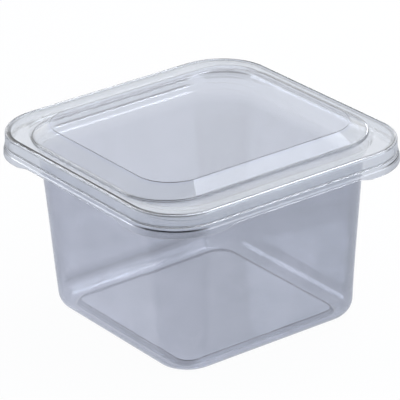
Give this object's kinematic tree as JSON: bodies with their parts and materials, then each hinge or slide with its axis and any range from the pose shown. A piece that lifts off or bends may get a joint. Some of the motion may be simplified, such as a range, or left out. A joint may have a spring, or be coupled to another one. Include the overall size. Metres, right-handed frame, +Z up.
{
  "type": "clamshell pack",
  "caption": "Clear square tub with stepped mouth, flanged lip and a lid with a raised panel on a living hinge along one side.",
  "frame": {"origin": "on the surface the pack stands on, under the middle of its outline", "axes": "+Z up, -Y towards the side that opens, +Y towards the hinge, +X to the right seen from the opening side"},
  "size_m": [0.1322, 0.1322, 0.086],
  "materials": {
    "clear_sheet": "clear thermoformed sheet with a faint cool tint and a high gloss"
  },
  "bodies": {
    "tub": {"tub": "clear_sheet"},
    "lid": {"lid": "clear_sheet"}
  },
  "joints": [
    {"name": "lid_hinge", "type": "hinge", "parent": "tub", "child": "lid", "pos_m": [0, 0.0655, 0.07565], "axis": [-1, 0, 0], "range_deg": [0, 180]}
  ]
}
